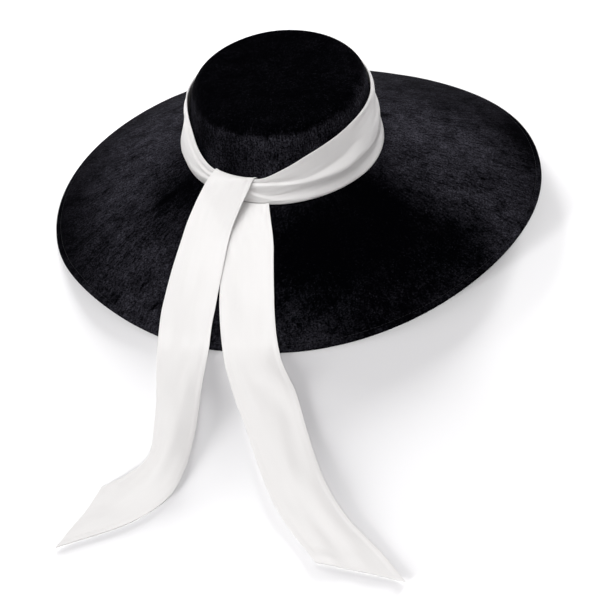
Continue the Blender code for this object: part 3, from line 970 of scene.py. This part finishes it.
def tail_points(table, route, share, v):
    """Points at these shares of the way, one for each v across, and how far they are lifted."""
    rows = np.array(table, float)
    at = np.linspace(0, 1, len(route))
    middle = np.stack([np.interp(share, at, route[:, k]) for k in (0, 1)], 1)
    heading, wide, right, mid, left = (np.interp(share, rows[:, 0], rows[:, k]) for k in range(1, 6))
    heading = np.radians(heading)
    side_way = np.stack([np.sin(heading), -np.cos(heading)], 1)
    lift = mid + v * (right - left) / 2 + v * v * ((right + left) / 2 - mid)
    return middle + side_way * (v * SCARF_WIDTH * wide / 2)[:, None], lift * SCARF_WIDTH


def cloth_bumps(along, across, squeeze, span, seed):
    """Bumps on a tail's cloth, drawn out along it and across it by these shares."""
    places = [along * squeeze[0], across * SCARF_WIDTH * squeeze[1], 0 * along]
    return soft_noise(np.stack(places, 1), span, seed)


def tail_relief(along, across, length, seed):
    """How far a tail's soft waves, its turned edges and the gathers at its start stand up."""
    waves = WAVE_HEIGHT * (cloth_bumps(along, across, WAVE_SQUEEZE, WAVE_SPAN, seed) + WAVE_RISE)
    waves = waves * smooth((along - WAVE_START) / WAVE_START)
    waves = waves * (1 - WAVE_LESS_AT_END * smooth((along - length + WAVE_END) / WAVE_END))
    waves = waves * (1 - WAVE_LESS_AT_EDGES * across**4)
    from_edge = SCARF_WIDTH / 2 * (1 - np.abs(across))
    turned = TURNED_EDGE_HEIGHT * (1 - smooth((from_edge - TURNED_EDGE) / TURNED_EDGE_FADE))
    creases = cloth_bumps(along, across, GATHERS_SQUEEZE, GATHERS_SPAN, seed + 4)
    gathers = GATHERS_HEIGHT * np.maximum(creases + GATHERS_RISE, 0)
    gathers = gathers * np.exp(-along / GATHERS_REACH) * smooth(along / GATHERS_START)
    gathers = gathers * (1 - GATHERS_LESS_AT_EDGES * across**4)
    return waves + turned + gathers


def make_tail(name, table, length, start, seed):
    """A strip laid over the brim and on over the floor, with soft waves, then doubled and rounded."""
    route = tail_route(table, length, start(0))
    v = np.sin(np.linspace(-np.pi / 2, np.pi / 2, TAIL_COLUMNS))
    fitted = start(v)[:, :2] - tail_points(table, route, np.zeros(TAIL_COLUMNS), v)[0]
    reach = POINT_REACH * TAIL_POINT
    distances = np.linspace(0, length, round(length / TAIL_STEP) + 1)
    places, lifts = [], []
    for distance in distances:
        slant = max(distance - length + reach, 0) / reach
        cut = TAIL_POINT * slant * (1 + v) / 2
        place, lift = tail_points(table, route, (distance - cut) / length, v)
        fade = 1 - smooth(distance / (START_REACH * SCARF_WIDTH))
        places.append(place + fitted * fade)
        lifts.append(lift)
    places, lifts = np.array(places), np.array(lifts)
    for _ in range(LIFT_SMOOTHINGS):
        lifts[1:-1] = (lifts[:-2] + 2 * lifts[1:-1] + lifts[2:]) / 4
    flat = np.concatenate([places, np.zeros(places.shape[:2])[..., None]], 2).reshape(-1, 3)
    along = np.repeat(distances, TAIL_COLUMNS)
    across = np.tile(v, len(distances))
    raised = lifts.ravel() + tail_relief(along, across, length, seed)
    points = np.concatenate([flat[:, :2], (ground_height(flat) + np.maximum(raised, 0))[:, None]], 1)
    faces = []
    for k in range(len(distances) - 1):
        a, b = k * TAIL_COLUMNS, (k + 1) * TAIL_COLUMNS
        faces += [(a + i, b + i, b + i + 1, a + i + 1) for i in range(TAIL_COLUMNS - 1)]
    tail = make_object(name, points, faces)
    if sum(face.normal.z for face in tail.data.polygons) < 0:
        tail.data.flip_normals()
    add_uv(tail, across * SCARF_WIDTH / 2, along)
    bpy.ops.object.select_all(action="DESELECT")
    bpy.context.view_layer.objects.active = tail
    tail.select_set(True)
    doubled = tail.modifiers.new("doubled", "SOLIDIFY")
    doubled.thickness = SATIN_THICKNESS
    doubled.offset = 1
    rounded = tail.modifiers.new("rounded", "SUBSURF")
    rounded.levels = 1
    rounded.render_levels = 1
    for modifier in ("doubled", "rounded"):
        bpy.ops.object.modifier_apply(modifier=modifier)
    tail.data.materials.append(satin(name.replace("_", " ")))
    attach(tail, "root")
    return tail


left_tail = make_tail("satin_tail_left", LEFT_TAIL, LEFT_TAIL_LENGTH, left_start, seed=3)
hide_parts("scarf_tail_left")
right_tail = make_tail("satin_tail_right", RIGHT_TAIL, RIGHT_TAIL_LENGTH, right_start, seed=4)
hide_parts("scarf_tail_right")


# The studio. A seamless white paper floor with soft lamps round it that light only the floor, most
# of them low behind the hat, soft lamps over and beside the hat that light only the hat, and an even
# pale surround.
FLOOR_SIZE = 24
FLOOR_WHITE = (0.93, 0.93, 0.935)
CAMERA_PLACE = (-0.00588, -1.5590, 0.9952)
CAMERA_DOWN = 35.5
CAMERA_ROLL = -8.4
LENS = 120
SENSOR = 36
SURROUND = (1.0, 0.95, 0.995)
SURROUND_STRENGTH = 0.2
LIGHT_DISTANCE = 5.0
STUDIO_LIGHTS = (
    # name, what it lights, azimuth, degrees above the floor, degrees of spread, share of the light
    ("back right", "floor", 62, 6, 6, 0.31),
    ("back", "floor", 98, 9, 9, 0.34),
    ("back left", "floor", 135, 6, 6, 0.09),
    ("low left", "floor", 225, 6, 6, 0.22),
    ("front", "floor", 270, 30, 10, 0.28),
    ("overhead", "hat", 0, 90, 16, 0.54),
    ("high left", "hat", 140, 68, 18, 0.22),
    ("front right", "hat", 320, 60, 14, 0.12),
    ("low left side", "hat", 200, 20, 14, 0.065),
    ("low front", "hat", 270, 20, 14, 0.02),
)

bpy.ops.object.select_all(action="DESELECT")
bpy.ops.mesh.primitive_plane_add(size=FLOOR_SIZE, location=(0, 0, 0))
floor = bpy.context.object
floor.name = "floor"
paper, _, surface = new_material("white paper")
surface.inputs["Base Color"].default_value = (*FLOOR_WHITE, 1)
surface.inputs["Roughness"].default_value = 0.9
surface.inputs["Specular IOR Level"].default_value = 0.1
floor.data.materials.append(paper)

hat = bpy.data.collections.new("lit as the hat")
for piece in (crown, brim, stitching, wrap, left_tail, right_tail):
    hat.objects.link(piece)
paper_only = bpy.data.collections.new("lit as the floor")
paper_only.objects.link(floor)

for name, lit, azimuth, height, spread, share in STUDIO_LIGHTS:
    turn, tilt = np.radians(azimuth), np.radians(height)
    away = np.array([np.cos(turn) * np.cos(tilt), np.sin(turn) * np.cos(tilt), np.sin(tilt)])
    lamp = bpy.data.lights.new(name, "AREA")
    lamp.shape = "DISK"
    lamp.size = 2 * LIGHT_DISTANCE * np.tan(np.radians(spread))
    lamp.energy = share * (np.pi * LIGHT_DISTANCE) ** 2 / np.sin(tilt)
    light = bpy.data.objects.new(name, lamp)
    light.location = MIDDLE + away * LIGHT_DISTANCE
    light.rotation_euler = Vector(-away).to_track_quat("-Z", "Y").to_euler()
    light.visible_camera = False
    light.light_linking.receiver_collection = hat if lit == "hat" else paper_only
    bpy.context.scene.collection.objects.link(light)

world = bpy.data.worlds.new("pale surround")
world.use_nodes = True
background = world.node_tree.nodes["Background"]
background.inputs["Color"].default_value = (*SURROUND, 1)
background.inputs["Strength"].default_value = SURROUND_STRENGTH
bpy.context.scene.world = world
bpy.context.scene.view_settings.view_transform = "Standard"

down, roll = np.radians(CAMERA_DOWN), np.radians(CAMERA_ROLL)
level = np.array([1, 0, 0])
rising = np.array([0, np.sin(down), np.cos(down)])
towards = np.array([0, -np.cos(down), np.sin(down)])
across_view = np.cos(roll) * level + np.sin(roll) * rising
up_view = -np.sin(roll) * level + np.cos(roll) * rising
lens = bpy.data.cameras.new("camera")
lens.lens = LENS
lens.sensor_width = SENSOR
camera = bpy.data.objects.new("camera", lens)
turned = Matrix(np.stack([across_view, up_view, towards], 1).tolist()).to_4x4()
camera.matrix_world = Matrix.Translation(Vector(MIDDLE + np.array(CAMERA_PLACE))) @ turned
bpy.context.scene.collection.objects.link(camera)
bpy.context.scene.camera = camera
